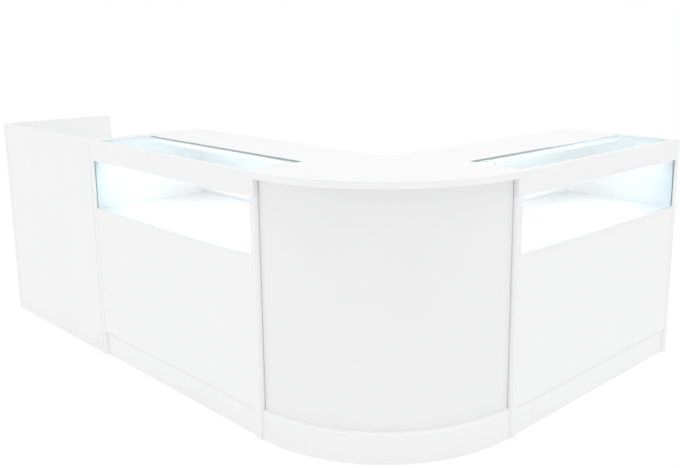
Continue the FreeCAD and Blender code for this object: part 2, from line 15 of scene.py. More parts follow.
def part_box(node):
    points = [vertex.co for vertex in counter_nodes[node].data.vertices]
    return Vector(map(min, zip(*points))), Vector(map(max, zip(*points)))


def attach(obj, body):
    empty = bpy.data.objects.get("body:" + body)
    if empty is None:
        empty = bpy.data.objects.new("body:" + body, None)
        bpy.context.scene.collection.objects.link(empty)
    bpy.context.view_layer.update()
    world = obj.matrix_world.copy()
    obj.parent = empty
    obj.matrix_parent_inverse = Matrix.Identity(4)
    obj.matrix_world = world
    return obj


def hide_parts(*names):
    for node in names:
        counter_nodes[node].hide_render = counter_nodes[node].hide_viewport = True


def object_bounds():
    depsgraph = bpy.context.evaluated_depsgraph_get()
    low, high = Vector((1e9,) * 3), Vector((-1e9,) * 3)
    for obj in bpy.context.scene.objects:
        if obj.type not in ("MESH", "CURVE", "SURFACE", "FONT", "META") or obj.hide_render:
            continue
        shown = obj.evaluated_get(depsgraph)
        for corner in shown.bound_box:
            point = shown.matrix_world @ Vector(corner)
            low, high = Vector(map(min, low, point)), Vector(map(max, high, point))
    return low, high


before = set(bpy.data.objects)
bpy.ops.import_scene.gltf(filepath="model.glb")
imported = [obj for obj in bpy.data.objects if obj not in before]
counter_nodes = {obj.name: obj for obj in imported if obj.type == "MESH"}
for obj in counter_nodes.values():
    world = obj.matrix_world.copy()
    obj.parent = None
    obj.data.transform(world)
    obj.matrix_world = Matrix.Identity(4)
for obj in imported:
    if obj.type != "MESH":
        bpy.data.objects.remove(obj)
cad_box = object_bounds()
scene = bpy.context.scene
scene.view_settings.view_transform = "Standard"

# %% [markdown]
# ## Camera
# The photograph was taken a little above the worktop, off the outer corner. Its place was
# worked out from the counter's own corners. The lens axis doesn't meet the picture in its
# middle, which is what a cropped photograph looks like, so the camera gets a shift as well.

# %% Camera at the photograph's place
PICTURE_WIDTH, PICTURE_HEIGHT = 680, 468
SENSOR_WIDTH = 36.0
FOCAL_PIXELS = 838.1
AXIS_PIXEL_X, AXIS_PIXEL_Y = 394.0, 198.0
CAMERA_PLACE = Vector((3.0758, -2.6121, 1.4857))
CAMERA_TURN, CAMERA_TILT = math.radians(44.3), math.radians(11.5)
QUARTER_TURN = math.pi / 2

camera_data = bpy.data.cameras.new("photograph_camera")
camera_data.sensor_width = SENSOR_WIDTH
camera_data.lens = FOCAL_PIXELS / PICTURE_WIDTH * SENSOR_WIDTH
camera_data.shift_x = (PICTURE_WIDTH / 2 - AXIS_PIXEL_X) / PICTURE_WIDTH
camera_data.shift_y = (AXIS_PIXEL_Y - PICTURE_HEIGHT / 2) / PICTURE_WIDTH
camera = bpy.data.objects.new("photograph_camera", camera_data)
scene.collection.objects.link(camera)
camera.location = CAMERA_PLACE
camera.rotation_euler = (QUARTER_TURN - CAMERA_TILT, 0.0, CAMERA_TURN)
scene.camera = camera
print("lens", round(camera_data.lens, 1), "mm, shift", round(camera_data.shift_x, 3),
      round(camera_data.shift_y, 3))

# %% [markdown]
# ## Small helpers for node trees
# Every finish is a node tree. Adding a node, setting its sockets and linking them takes many
# lines, so one helper does it: a value that is itself a socket is linked, any other is set.
# A second one tells the rays that show a surface from those that only carry light, and a
# third mixes two shaders by that.

# %% Helpers for node trees
def put(tree, kind, sockets=None, **settings):
    """A new node in a tree, with its settings, and its sockets set or linked."""
    node = tree.nodes.new(kind)
    for setting, value in settings.items():
        setattr(node, setting, value)
    for socket, value in (sockets or {}).items():
        if isinstance(value, bpy.types.NodeSocket):
            tree.links.new(value, node.inputs[socket])
        else:
            node.inputs[socket].default_value = value
    return node


def seen_rays(tree):
    """1 for rays that show a surface, directly or in metal and glass, and 0 for light."""
    path = put(tree, "ShaderNodeLightPath").outputs
    mirrored_ray = put(tree, "ShaderNodeMath", {0: path["Is Glossy Ray"],
                                                1: path["Is Transmission Ray"]}, operation="MAXIMUM")
    either = put(tree, "ShaderNodeMath", {0: path["Is Camera Ray"], 1: mirrored_ray.outputs[0]},
                 operation="MAXIMUM")
    return either.outputs[0]


def light_or_seen(tree, light, seen):
    """One shader for the light that is sent on, another for what is seen."""
    return put(tree, "ShaderNodeMixShader", {0: seen_rays(tree), 1: light.outputs[0],
                                             2: seen.outputs[0]})


print("helpers", [helper.__name__ for helper in (put, seen_rays, light_or_seen)])

# %% [markdown]
# ## Stage and light
# The photograph has a white ground and light from all round. The sky is white, and the floor
# shows white to the camera but keeps a soft shadow, because part of its white is its own
# plain colour under the lamps. Two broad lamps light the two fronts from the sides, so the
# round corner, which faces the camera, stays a little darker than the flat fronts. A third
# hangs overhead and lights the tops.

# %% White surroundings
WHITE = (1.0, 1.0, 1.0, 1.0)
SKY_LEVEL, SKY_SEEN = 0.835, 1.0
FLOOR_BOUNCE, FLOOR_LIFT = (0.95, 0.95, 0.95, 1.0), 0.20
FLOOR_SHADED, FLOOR_GLOW = (0.30, 0.30, 0.30, 1.0), 0.76
FLOOR_REACH = 40.0

world = bpy.data.worlds.new("white_surroundings")
world.use_nodes = True
scene.world = world
sky_tree = world.node_tree
sky_tree.nodes.clear()
sky_light, sky_seen = (put(sky_tree, "ShaderNodeBackground", {"Color": WHITE, "Strength": level})
                       for level in (SKY_LEVEL, SKY_SEEN))
sky = light_or_seen(sky_tree, sky_light, sky_seen)
put(sky_tree, "ShaderNodeOutputWorld", {"Surface": sky.outputs[0]})
print("sky level", SKY_LEVEL)


# %% Pale floor
def glowing(tree, colour, glow):
    """A plain colour with some light of its own."""
    plain = put(tree, "ShaderNodeBsdfDiffuse", {"Color": colour})
    own_light = put(tree, "ShaderNodeEmission", {"Strength": glow})
    return put(tree, "ShaderNodeAddShader", {0: plain.outputs[0], 1: own_light.outputs[0]})


floor_finish = bpy.data.materials.new("pale_floor")
floor_finish.use_nodes = True
floor_tree = floor_finish.node_tree
floor_tree.nodes.clear()
floor_shader = light_or_seen(floor_tree, glowing(floor_tree, FLOOR_BOUNCE, FLOOR_LIFT),
                             glowing(floor_tree, FLOOR_SHADED, FLOOR_GLOW))
put(floor_tree, "ShaderNodeOutputMaterial", {"Surface": floor_shader.outputs[0]})

floor_mesh = bpy.data.meshes.new("floor")
bm = bmesh.new()
bmesh.ops.create_grid(bm, x_segments=1, y_segments=1, size=FLOOR_REACH)
bm.to_mesh(floor_mesh)
bm.free()
floor_mesh.materials.append(floor_finish)
floor = bpy.data.objects.new("floor", floor_mesh)
scene.collection.objects.link(floor)
print("floor", 2 * FLOOR_REACH, "m wide")

# %% Lamps: place, size in metres and power in watts
LAMPS = {
    "lamp_left_front": ((-2.4, -6.0, 3.2), 4.0, 20.0),
    "lamp_right_front": ((6.5, 2.2, 3.2), 4.0, 3.0),
    "lamp_overhead": ((1.5, 0.0, 5.0), 4.0, 48.0),
}
LAMP_AIM = Vector((0.0, 0.0, 0.6))

for lamp_name, (lamp_place, lamp_size, lamp_power) in LAMPS.items():
    lamp_data = bpy.data.lights.new(lamp_name, "AREA")
    lamp_data.size = lamp_size
    lamp_data.energy = lamp_power
    lamp = bpy.data.objects.new(lamp_name, lamp_data)
    lamp.location = lamp_place
    lamp.rotation_euler = (LAMP_AIM - lamp.location).to_track_quat("-Z", "Y").to_euler()
    scene.collection.objects.link(lamp)
print("lamps", sorted(LAMPS))

# %% [markdown]
# ## Shared effects as node groups
# Melamine-faced board isn't a flat white. It has a fine pearl texture from the press plate,
# a gloss that varies a little where hands have wiped it, and faint scuffs near the floor.
# Several finishes use these effects, so each is a node group with named sockets. A group
# only puts out masks and heights: the shader itself stays in the material.

# %% Node group: pressed texture
GRAIN_PER_METRE, CLOUDS_PER_METRE = 700.0, 3.0
GRAIN_NOISE = {"Detail": 2.0, "Roughness": 0.55}
CLOUD_NOISE = {"Detail": 3.0, "Roughness": 0.5}
WIPE_NOISE, WIPE_STRETCH = {"Scale": 1.0, "Detail": 4.0}, (9.0, 9.0, 1.6)


def new_group(title, inputs, outputs):
    """An empty shader node group, its sockets named, and its two end nodes."""
    group = bpy.data.node_groups.new(title, "ShaderNodeTree")
    for socket, kind, value in inputs:
        made = group.interface.new_socket(socket, in_out="INPUT", socket_type=kind)
        if value is not None:
            made.default_value = value
    for socket in outputs:
        group.interface.new_socket(socket, in_out="OUTPUT", socket_type="NodeSocketFloat")
    return group, put(group, "NodeGroupInput").outputs, put(group, "NodeGroupOutput").inputs


pressed, given, result = new_group(
    "pressed_texture",
    [("Place", "NodeSocketVector", None), ("Grain per metre", "NodeSocketFloat", GRAIN_PER_METRE),
     ("Clouds per metre", "NodeSocketFloat", CLOUDS_PER_METRE)],
    ["Cloud", "Wipe", "Height"],
)
grain = put(pressed, "ShaderNodeTexNoise", {"Vector": given["Place"],
                                            "Scale": given["Grain per metre"], **GRAIN_NOISE})
cloud = put(pressed, "ShaderNodeTexNoise", {"Vector": given["Place"],
                                            "Scale": given["Clouds per metre"], **CLOUD_NOISE})
stretched = put(pressed, "ShaderNodeMapping", {"Vector": given["Place"], "Scale": WIPE_STRETCH})
wipe = put(pressed, "ShaderNodeTexNoise", {"Vector": stretched.outputs[0], **WIPE_NOISE})
for source, socket in ((cloud, "Cloud"), (wipe, "Wipe"), (grain, "Height")):
    pressed.links.new(source.outputs["Fac"], result[socket])
print("group", pressed.name, [item.name for item in pressed.interface.items_tree])

# %% Node group: scuffs near the floor
SCUFF_REACH = 0.12
SCUFF_NOISE, SCUFF_STRETCH = {"Scale": 1.0, "Detail": 5.0}, (6.0, 6.0, 60.0)
SCUFF_FIRST, SCUFF_LAST = 0.55, 0.75

scuffs, given, result = new_group(
    "floor_scuffs",
    [("Place", "NodeSocketVector", None), ("Reach", "NodeSocketFloat", SCUFF_REACH)],
    ["Mask"],
)
height = put(scuffs, "ShaderNodeSeparateXYZ", {0: given["Place"]}).outputs["Z"]
nearness = put(scuffs, "ShaderNodeMapRange", {"Value": height, "From Min": 0.0,
                                              "From Max": given["Reach"], "To Min": 1.0,
                                              "To Max": 0.0})
drawn_out = put(scuffs, "ShaderNodeMapping", {"Vector": given["Place"], "Scale": SCUFF_STRETCH})
streaks = put(scuffs, "ShaderNodeTexNoise", {"Vector": drawn_out.outputs[0], **SCUFF_NOISE})
picked = put(scuffs, "ShaderNodeMapRange", {"Value": streaks.outputs["Fac"],
                                            "From Min": SCUFF_FIRST, "From Max": SCUFF_LAST})
mask = put(scuffs, "ShaderNodeMath", {0: nearness.outputs[0], 1: picked.outputs[0]},
           operation="MULTIPLY")
scuffs.links.new(mask.outputs[0], result["Mask"])
print("group", scuffs.name)

# %% Node group: fade up to a height
rising, given, result = new_group(
    "rising_fade",
    [("Place", "NodeSocketVector", None), ("Top", "NodeSocketFloat", None),
     ("Reach", "NodeSocketFloat", None)],
    ["Mask"],
)
height = put(rising, "ShaderNodeSeparateXYZ", {0: given["Place"]}).outputs["Z"]
bottom = put(rising, "ShaderNodeMath", {0: given["Top"], 1: given["Reach"]}, operation="SUBTRACT")
mask = put(rising, "ShaderNodeMapRange", {"Value": height, "From Min": bottom.outputs[0],
                                          "From Max": given["Top"]},
           interpolation_type="SMOOTHSTEP")
rising.links.new(mask.outputs[0], result["Mask"])
print("group", rising.name)

# %% [markdown]
# ## Board finishes
# All boards are white, but not all alike: the fronts have a satin laminate, the boards inside
# have a duller one, and the bent corner panel is a thin sheet with a softer sheen, painted a
# little darker as shade for the round corner. Straight plinths get a line of painted shade
# below the front panels. Doors, gables and the till block's end are painted a brighter white,
# as light for the inside of the case, and all of these but the doors have a strip of the
# fronts' laminate on their front edge. One function makes them all from the same groups.

# %% Helpers for finishes
# noise values seldom leave this range, so it is what gets spread over a finish
NOISE_LOW, NOISE_HIGH = 0.3, 0.7


def start_finish(title):
    """An empty material, its tree, and the piece's own coordinates."""
    finish = bpy.data.materials.new(title)
    finish.use_nodes = True
    tree = finish.node_tree
    tree.nodes.clear()
    place = put(tree, "ShaderNodeTexCoord").outputs["Object"]
    return finish, tree, place


def use_group(tree, group, **sockets):
    """A group placed in a tree. Socket names are written with _ for spaces."""
    return put(tree, "ShaderNodeGroup", {k.replace("_", " "): v for k, v in sockets.items()},
               node_tree=group).outputs


def shown_by(tree, shader):
    put(tree, "ShaderNodeOutputMaterial", {"Surface": shader.outputs[0]})


def blended(tree, mask, first, second):
    """A colour between two, by a mask."""
    # a Mix node has several sockets of one name, which only their identifiers tell apart
    mix = put(tree, "ShaderNodeMix", data_type="RGBA")
    for socket, value in (("Factor_Float", mask), ("A_Color", first), ("B_Color", second)):
        target = next(i for i in mix.inputs if i.identifier == socket)
        if isinstance(value, bpy.types.NodeSocket):
            tree.links.new(value, target)
        else:
            target.default_value = value
    return next(o for o in mix.outputs if o.identifier == "Result_Color")


def ranged(tree, value, low, high):
    """A noise value spread between two others."""
    return put(tree, "ShaderNodeMapRange", {"Value": value, "From Min": NOISE_LOW,
                                            "From Max": NOISE_HIGH, "To Min": low,
                                            "To Max": high}).outputs[0]


print("noise is spread from", NOISE_LOW, "to", NOISE_HIGH)

# %% White board finishes
SCUFF_SHARE, SCUFF_GREY = 0.12, (0.55, 0.55, 0.54, 1.0)
SHADE_REACH, SHADE_GREY = 0.019, (0.70, 0.70, 0.70, 1.0)
EDGE_THICKNESS, EDGE_WHITE = 0.001, (0.888, 0.889, 0.889, 1.0)
GRAIN_STRENGTH = 0.25


def board_finish(title, light, dark, glossy, dull, grain_rise, overhang=None, outward=None):
    """White board. Below an overhang at the given height, a line of painted shade is added.

    A board with an outward direction has an edge strip of the fronts' white on that side.
    """
    finish, tree, place = start_finish(title)
    texture = use_group(tree, pressed, Place=place)
    marks = use_group(tree, scuffs, Place=place)
    clouded = blended(tree, ranged(tree, texture["Cloud"], 0.0, 1.0), light, dark)
    faint = put(tree, "ShaderNodeMath", {0: marks["Mask"], 1: SCUFF_SHARE}, operation="MULTIPLY")
    coloured = blended(tree, faint.outputs[0], clouded, SCUFF_GREY)
    # painted shade: grey fading up to the overhang's height, for the shadow under the front panels
    if overhang is not None:
        under = use_group(tree, rising, Place=place, Top=overhang, Reach=SHADE_REACH)
        coloured = blended(tree, under["Mask"], coloured, SHADE_GREY)
    # the front edge keeps the fronts' white, so the painted light of a lighter board doesn't show
    # there
    if outward is not None:
        front = max(outward.dot(corner) for corner in cad_box)
        distance = put(tree, "ShaderNodeVectorMath", {0: place, 1: outward},
                       operation="DOT_PRODUCT")
        raised = put(tree, "ShaderNodeCombineXYZ", {"Z": distance.outputs["Value"]})
        strip = use_group(tree, rising, Place=raised.outputs[0], Top=front - EDGE_THICKNESS,
                          Reach=EDGE_THICKNESS)
        coloured = blended(tree, strip["Mask"], coloured, EDGE_WHITE)
    relief = put(tree, "ShaderNodeBump", {"Height": texture["Height"], "Strength": GRAIN_STRENGTH,
                                          "Distance": grain_rise})
    shader = put(tree, "ShaderNodeBsdfPrincipled", {
        "Base Color": coloured, "Roughness": ranged(tree, texture["Wipe"], glossy, dull),
        "Normal": relief.outputs[0]})
    shown_by(tree, shader)
    return finish


PLINTH_TOP = 0.116
# painted light: doors, gables and the till end are a lighter white than the fronts, as light for the
# inside of the case
CASE_WHITES_PAINTED_LIGHT = {"light": (0.962, 0.964, 0.966, 1.0), "dark": (0.952, 0.954, 0.957, 1.0)}
OUTWARD = {"left": Vector((0.0, -1.0, 0.0)), "right": Vector((1.0, 0.0, 0.0))}
front_laminate = board_finish(
    "front_laminate", light=(0.892, 0.893, 0.893, 1.0), dark=(0.882, 0.883, 0.884, 1.0),
    glossy=0.34, dull=0.42, grain_rise=0.00008)
inside_laminate = board_finish(
    "inside_laminate", light=(0.868, 0.870, 0.872, 1.0), dark=(0.856, 0.858, 0.861, 1.0),
    glossy=0.46, dull=0.56, grain_rise=0.00012)
door_laminate = board_finish("door_laminate", **CASE_WHITES_PAINTED_LIGHT, glossy=0.46, dull=0.56,
                             grain_rise=0.00012)
gable_laminate = {
    side: board_finish(f"{side}_gable_laminate", **CASE_WHITES_PAINTED_LIGHT, glossy=0.40, dull=0.50,
                       grain_rise=0.00010, outward=outward)
    for side, outward in OUTWARD.items()}
# painted shade: the bent corner panel is a darker white than the fronts
bent_laminate_painted_shade = board_finish(
    "bent_laminate_painted_shade", light=(0.860, 0.860, 0.862, 1.0), dark=(0.850, 0.851, 0.853, 1.0),
    glossy=0.40, dull=0.50, grain_rise=0.00006)
# the straight plinths carry the painted shade under the front panels
plinth_laminate = board_finish(
    "plinth_laminate", light=(0.905, 0.906, 0.906, 1.0), dark=(0.895, 0.896, 0.897, 1.0),
    glossy=0.36, dull=0.46, grain_rise=0.00008, overhang=PLINTH_TOP)
# painted highlight: a lighter, glossier white for the up-facing faces of the curved plinth
ledge_painted_highlight = board_finish(
    "ledge_painted_highlight", light=(0.968, 0.968, 0.968, 1.0), dark=(0.955, 0.955, 0.956, 1.0),
    glossy=0.22, dull=0.30, grain_rise=0.00003)
print("board finishes", [finish.name for finish in (
    front_laminate, inside_laminate, door_laminate, *gable_laminate.values(), bent_laminate_painted_shade,
    plinth_laminate, ledge_painted_highlight)])

# %% [markdown]
# ## Glass, metal, plastic and light
# Clear panes are seen nearly edge on here, so what matters is how much they mirror at a low
# angle. A Transparent shader is mixed by Fresnel with a mirror, which lets the lamps reach the
# goods below. Its blue tint deepens at a low angle, because light then goes through more
# glass. The cut edges of a pane are a finish of their own.

# %% Clear glass
TINT_FACING, TINT_GRAZING = (0.992, 0.998, 1.0, 1.0), (0.832, 0.890, 0.906, 1.0)
FACING_FIRST, FACING_LAST = 0.485, 0.60
PANE_GLOSS = (0.80, 0.935, 0.96, 1.0)
PANE_BEND = 1.45
PANE_GRIME, PANE_CLOUDS = 0.05, 6.0


def pane_finish():
    """Clear glass, which mirrors more and tints more the lower it is looked at."""
    finish, tree, place = start_finish("clear_pane")
    film = use_group(tree, pressed, Place=place, Clouds_per_metre=PANE_CLOUDS)
    slant = put(tree, "ShaderNodeMapRange", {
        "Value": put(tree, "ShaderNodeLayerWeight").outputs["Facing"], "From Min": FACING_FIRST,
        "From Max": FACING_LAST})
    tint = blended(tree, slant.outputs[0], TINT_FACING, TINT_GRAZING)
    clear = put(tree, "ShaderNodeBsdfTransparent", {"Color": tint})
    mirror = put(tree, "ShaderNodeBsdfPrincipled", {
        "Base Color": PANE_GLOSS, "Metallic": 1.0,
        "Roughness": ranged(tree, film["Wipe"], 0.0, PANE_GRIME)})
    # the far face of a pane mirrors nothing more, or every pane would turn into a mirror
    backface = put(tree, "ShaderNodeNewGeometry").outputs["Backfacing"]
    outer = put(tree, "ShaderNodeMath", {0: 1.0, 1: backface}, operation="SUBTRACT")
    fresnel = put(tree, "ShaderNodeFresnel", {"IOR": PANE_BEND})
    share = put(tree, "ShaderNodeMath", {0: fresnel.outputs[0], 1: outer.outputs[0]},
                operation="MULTIPLY")
    pane = put(tree, "ShaderNodeMixShader", {0: share.outputs[0], 1: clear.outputs[0],
                                             2: mirror.outputs[0]})
    shown_by(tree, pane)
    return finish


clear_pane = pane_finish()
print("glass finish", clear_pane.name)

# %% [markdown]
# Ground glass edges, tape, sealant and moulded plastic are dull and even, with two close
# tones and a very fine relief, so one function serves all four.

# %% Ground and moulded finishes
GROUND_STRENGTH, GROUND_RISE = 0.3, 0.0001
GROUND_CLOUDS = 40.0
GROUND_SPREAD = 0.15


def ground_finish(title, light, dark, roughness, grain_per_metre):
    """A finely ground or moulded surface: two close colours and a fine relief."""
    finish, tree, place = start_finish(title)
    texture = use_group(tree, pressed, Place=place, Grain_per_metre=grain_per_metre,
                        Clouds_per_metre=GROUND_CLOUDS)
    relief = put(tree, "ShaderNodeBump", {"Height": texture["Height"],
                                          "Strength": GROUND_STRENGTH, "Distance": GROUND_RISE})
    shader = put(tree, "ShaderNodeBsdfPrincipled", {
        "Base Color": blended(tree, ranged(tree, texture["Cloud"], 0.0, 1.0), light, dark),
        "Roughness": ranged(tree, texture["Wipe"], roughness * (1 - GROUND_SPREAD),
                            roughness * (1 + GROUND_SPREAD)),
        "Normal": relief.outputs[0]})
    shown_by(tree, shader)
    return finish


pane_edge = ground_finish("pane_edge", light=(0.72, 0.86, 0.88, 1.0), dark=(0.62, 0.79, 0.82, 1.0),
                          roughness=0.2, grain_per_metre=1500.0)
glazing_tape = ground_finish("glazing_tape", light=(0.30, 0.36, 0.40, 1.0),
                             dark=(0.24, 0.30, 0.34, 1.0), roughness=0.5, grain_per_metre=2500.0)
white_sealant = ground_finish("white_sealant", light=(0.86, 0.87, 0.87, 1.0),
                              dark=(0.82, 0.83, 0.84, 1.0), roughness=0.3, grain_per_metre=900.0)
grey_plastic = ground_finish("moulded_plastic", light=(0.24, 0.24, 0.25, 1.0),
                             dark=(0.20, 0.20, 0.21, 1.0), roughness=0.45, grain_per_metre=1800.0)
print("ground finishes", [finish.name for finish in (pane_edge, glazing_tape, white_sealant,
                                                     grey_plastic)])

# %% [markdown]
# The metal is drawn aluminium or zinc-plated steel. Both are bare, so their colour is that
# of what they mirror, and a fine grain makes the gloss uneven.

# %% Metal finishes
METAL_DETAIL = 3.0
METAL_STRENGTH, METAL_RISE = 0.15, 0.00005
METAL_DULLEST = 1.5


def metal_finish(title, light, dark, roughness, grain_per_metre):
    """Bare metal with the fine grain that drawing or plating leaves."""
    finish, tree, place = start_finish(title)
    speckle = put(tree, "ShaderNodeTexNoise", {"Vector": place, "Scale": grain_per_metre,
                                               "Detail": METAL_DETAIL}).outputs["Fac"]
    relief = put(tree, "ShaderNodeBump", {"Height": speckle, "Strength": METAL_STRENGTH,
                                          "Distance": METAL_RISE})
    shader = put(tree, "ShaderNodeBsdfPrincipled", {
        "Base Color": blended(tree, ranged(tree, speckle, 0.0, 1.0), light, dark),
        "Metallic": 1.0, "Roughness": ranged(tree, speckle, roughness, roughness * METAL_DULLEST),
        "Normal": relief.outputs[0]})
    shown_by(tree, shader)
    return finish


satin_aluminium = metal_finish("drawn_aluminium", light=(0.80, 0.81, 0.82, 1.0),
                               dark=(0.70, 0.71, 0.73, 1.0), roughness=0.28, grain_per_metre=900.0)
plated_steel = metal_finish("zinc_plate", light=(0.66, 0.67, 0.69, 1.0),
                            dark=(0.55, 0.56, 0.59, 1.0), roughness=0.22, grain_per_metre=400.0)
bright_track = metal_finish("bright_track", light=(0.93, 0.935, 0.94, 1.0),
                            dark=(0.88, 0.885, 0.89, 1.0), roughness=0.35, grain_per_metre=700.0)
print("metal finishes", satin_aluminium.name, plated_steel.name, bright_track.name)

# %% [markdown]
# The frosted lens of a light strip glows, a little unevenly, as diodes behind it would make it.

# %% Light finish
LENS_STRENGTH = 3.0
LENS_COOL, LENS_WARM = (0.94, 0.97, 1.0, 1.0), (1.0, 1.0, 0.98, 1.0)
LENS_ROUGHNESS = 0.6
DIODES_PER_METRE = 60.0


def lens_finish():
    """A frosted lens whose glow shifts from cool to warm along the strip."""
    finish, tree, place = start_finish("lit_lens")
    spots = put(tree, "ShaderNodeTexNoise", {"Vector": place, "Scale": DIODES_PER_METRE,
                                             "Detail": 0.0})
    glow = blended(tree, ranged(tree, spots.outputs["Fac"], 0.0, 1.0), LENS_COOL, LENS_WARM)
    shader = put(tree, "ShaderNodeBsdfPrincipled", {
        "Base Color": glow, "Roughness": LENS_ROUGHNESS, "Emission Color": glow,
        "Emission Strength": LENS_STRENGTH})
    shown_by(tree, shader)
    return finish


lit_lens = lens_finish()
print("light finish", lit_lens.name)

# %% [markdown]
# ## Finishes on the CAD nodes
# A node keeps its shape and takes a finish by its name. Board edges on the real counter are
# banded and slightly eased, so that they catch a thin light line, and the rims of rolled or
# drawn metal are eased too. The CAD mesh is loose triangles: Weld joins them, a planar
# Decimate clears the flat faces, and Bevel eases what is still sharp. Clamping is off, because
# the short edges round each drilled hole would otherwise shrink the bevel of a whole board.

# %% Give every node its finish
WELD_REACH = 0.00001
BOARD_EASE, METAL_EASE = 0.0009, 0.0003
EASE_STEPS = 2
FLAT_ANGLE = math.radians(1.0)
EASE_ANGLE = math.radians(50.0)
FINISH_BY_WORD = [
    (("track",), bright_track),
    (("handle",), satin_aluminium),
    (("runners", "slides", "lock", "bolts", "pins", "cam_fittings"), plated_steel),
    (("glides", "grommet"), grey_plastic),
    (("corner_front_panel",), bent_laminate_painted_shade),
    (("display_plinth",), plinth_laminate),
    (("display_door",), door_laminate),
    (("left_display_gable", "till_end_panel"), gable_laminate["left"]),
    (("right_display_gable",), gable_laminate["right"]),
    (("shelf", "base", "deck", "kick", "drawer_box"), inside_laminate),
]
EASED_METAL = ("track", "runners", "slides")
LEFT_SHARP = ("glass", "light_strip", "cam_fittings", "drawer_box", "drawer_handle", "drawer_lock",
              "grommet", "glides", "pins", "bolts")


def finish_for(node_name):
    for words, finish in FINISH_BY_WORD:
        if any(word in node_name for word in words):
            return finish
    return front_laminate


def ease_edges(node, width):
    weld = node.modifiers.new("joined", "WELD")
    weld.merge_threshold = WELD_REACH
    flat = node.modifiers.new("flat_faces", "DECIMATE")
    flat.decimate_type = "DISSOLVE"
    flat.angle_limit = FLAT_ANGLE
    bevel = node.modifiers.new("eased_edges", "BEVEL")
    bevel.width = width
    bevel.segments = EASE_STEPS
    bevel.use_clamp_overlap = False
    bevel.loop_slide = False
    bevel.limit_method = "ANGLE"
    bevel.angle_limit = EASE_ANGLE


for node_name, node in sorted(counter_nodes.items()):
    node.data.materials.clear()
    node.data.materials.append(finish_for(node_name))
    if any(word in node_name for word in EASED_METAL):
        ease_edges(node, METAL_EASE)
    elif not any(word in node_name for word in LEFT_SHARP):
        ease_edges(node, BOARD_EASE)
print("finished", len(counter_nodes), "nodes")

# %% [markdown]
# ## Working in a unit's own frame
# The two display units are the same, one turned by a quarter. So their pieces are modelled
# once, in a unit's own frame: u along its front, v from front to back and z up. A matrix
# then puts a piece in its place, and its mesh holds that place.

# %% Unit frames
def unit_frame(side):
    low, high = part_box(f"{side}_display_gable_left")
    if side == "left":
        return Matrix.Translation((low.x, low.y, 0.0))
    return Matrix.Translation((high.x, low.y, 0.0)) @ Matrix.Rotation(QUARTER_TURN, 4, "Z")


UNITS = {side: unit_frame(side) for side in ("left", "right")}


def unit_box(side, part):
    """Lowest and highest corner of a display unit's node, in the unit's own frame."""
    back = UNITS[side].inverted()
    one, other = (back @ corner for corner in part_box(f"{side}_display_{part}"))
    return Vector(map(min, one, other)), Vector(map(max, one, other))


print("unit frames", {side: tuple(round(c, 3) for c in m.translation) for side, m in UNITS.items()})

# %% [markdown]
# A new piece starts as a block, a drawn section or a turned outline. Whatever the start, it
# then gets its place and its finishes, and rides on the body that carries it.

# %% Helpers for new pieces
def add_block(bm, low, high):
    """A straight block, which the caller then shapes."""
    size = Vector(high) - Vector(low)
    place = Matrix.Translation((Vector(low) + Vector(high)) / 2) @ Matrix.Diagonal((*size, 1.0))
    bmesh.ops.create_cube(bm, size=1.0, matrix=place)


def ease(bm, width):
    """All edges ground off by one flat."""
    bmesh.ops.bevel(bm, geom=list(bm.edges), offset=width, segments=1, profile=0.5, affect="EDGES",
                    material=-1)


def keep_piece(bm, name, finishes, place=None, body="counter", slot=None, smooth_below=None):
    """The bmesh as a piece of the counter, in its place, riding on a body."""
    if place is not None:
        bmesh.ops.transform(bm, matrix=place, verts=bm.verts)
    if smooth_below is not None:
        for face in bm.faces:
            face.smooth = True
        for edge in bm.edges:
            edge.smooth = len(edge.link_faces) == 2 and edge.calc_face_angle() < smooth_below
    mesh = bpy.data.meshes.new(name)
    bm.to_mesh(mesh)
    bm.free()
    for finish in finishes:
        mesh.materials.append(finish)
    piece = bpy.data.objects.new(name, mesh)
    scene.collection.objects.link(piece)
    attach(piece, body)
    return piece


print("helpers", [helper.__name__ for helper in (add_block, ease, keep_piece)])

# %% [markdown]
# ## Glass panes
# A pane is a block with arrised edges: the sharp corners are ground off so that nobody is
# cut. Its broad faces are clear, and its ground rim has a pale blue-green finish. The bevel
# leaves the rim as the narrow faces, so a face's normal says which finish it gets.

# %% Glass panes with ground rims
ARRIS = 0.0008
BROAD_FACE = 0.99


def make_pane(side, part):
    low, high = unit_box(side, part)
    size = high - low
    thin_axis = list(size).index(min(size))
    bm = bmesh.new()
    add_block(bm, low, high)
    ease(bm, ARRIS)
    bm.normal_update()
    for face in bm.faces:
        face.material_index = 0 if abs(face.normal[thin_axis]) > BROAD_FACE else 1
    pane = keep_piece(bm, f"{side}_{part}_pane", [clear_pane, pane_edge], UNITS[side],
                      slot="clear_glass")
    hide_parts(f"{side}_display_{part}")
    return pane


for side in UNITS:
    for part in ("top_glass", "front_glass"):
        pane = make_pane(side, part)
        print(pane.name, len(pane.data.polygons), "faces")

# %% [markdown]
# ## Curved plinth
# The corner's plinth stands out from the panel above it, so its top edge shows as a bright
# ledge. That edge is rounded, and a hollow bead of sealant closes the joint to the panel.
# The section is drawn once and spun through the quarter circle, and the faces that look up
# get a lighter, glossier white, a painted highlight.

# %% Curved plinth with its painted highlight
PLINTH_THICKNESS = 0.012
ROUNDING_RADIUS = 0.005
COVE_RADIUS = 0.005
ROUNDING_STEPS = 5
CURVE_STEPS = 72
HIGHLIGHT_RISE = 0.2
SMOOTH_ANGLE = math.radians(42.0)


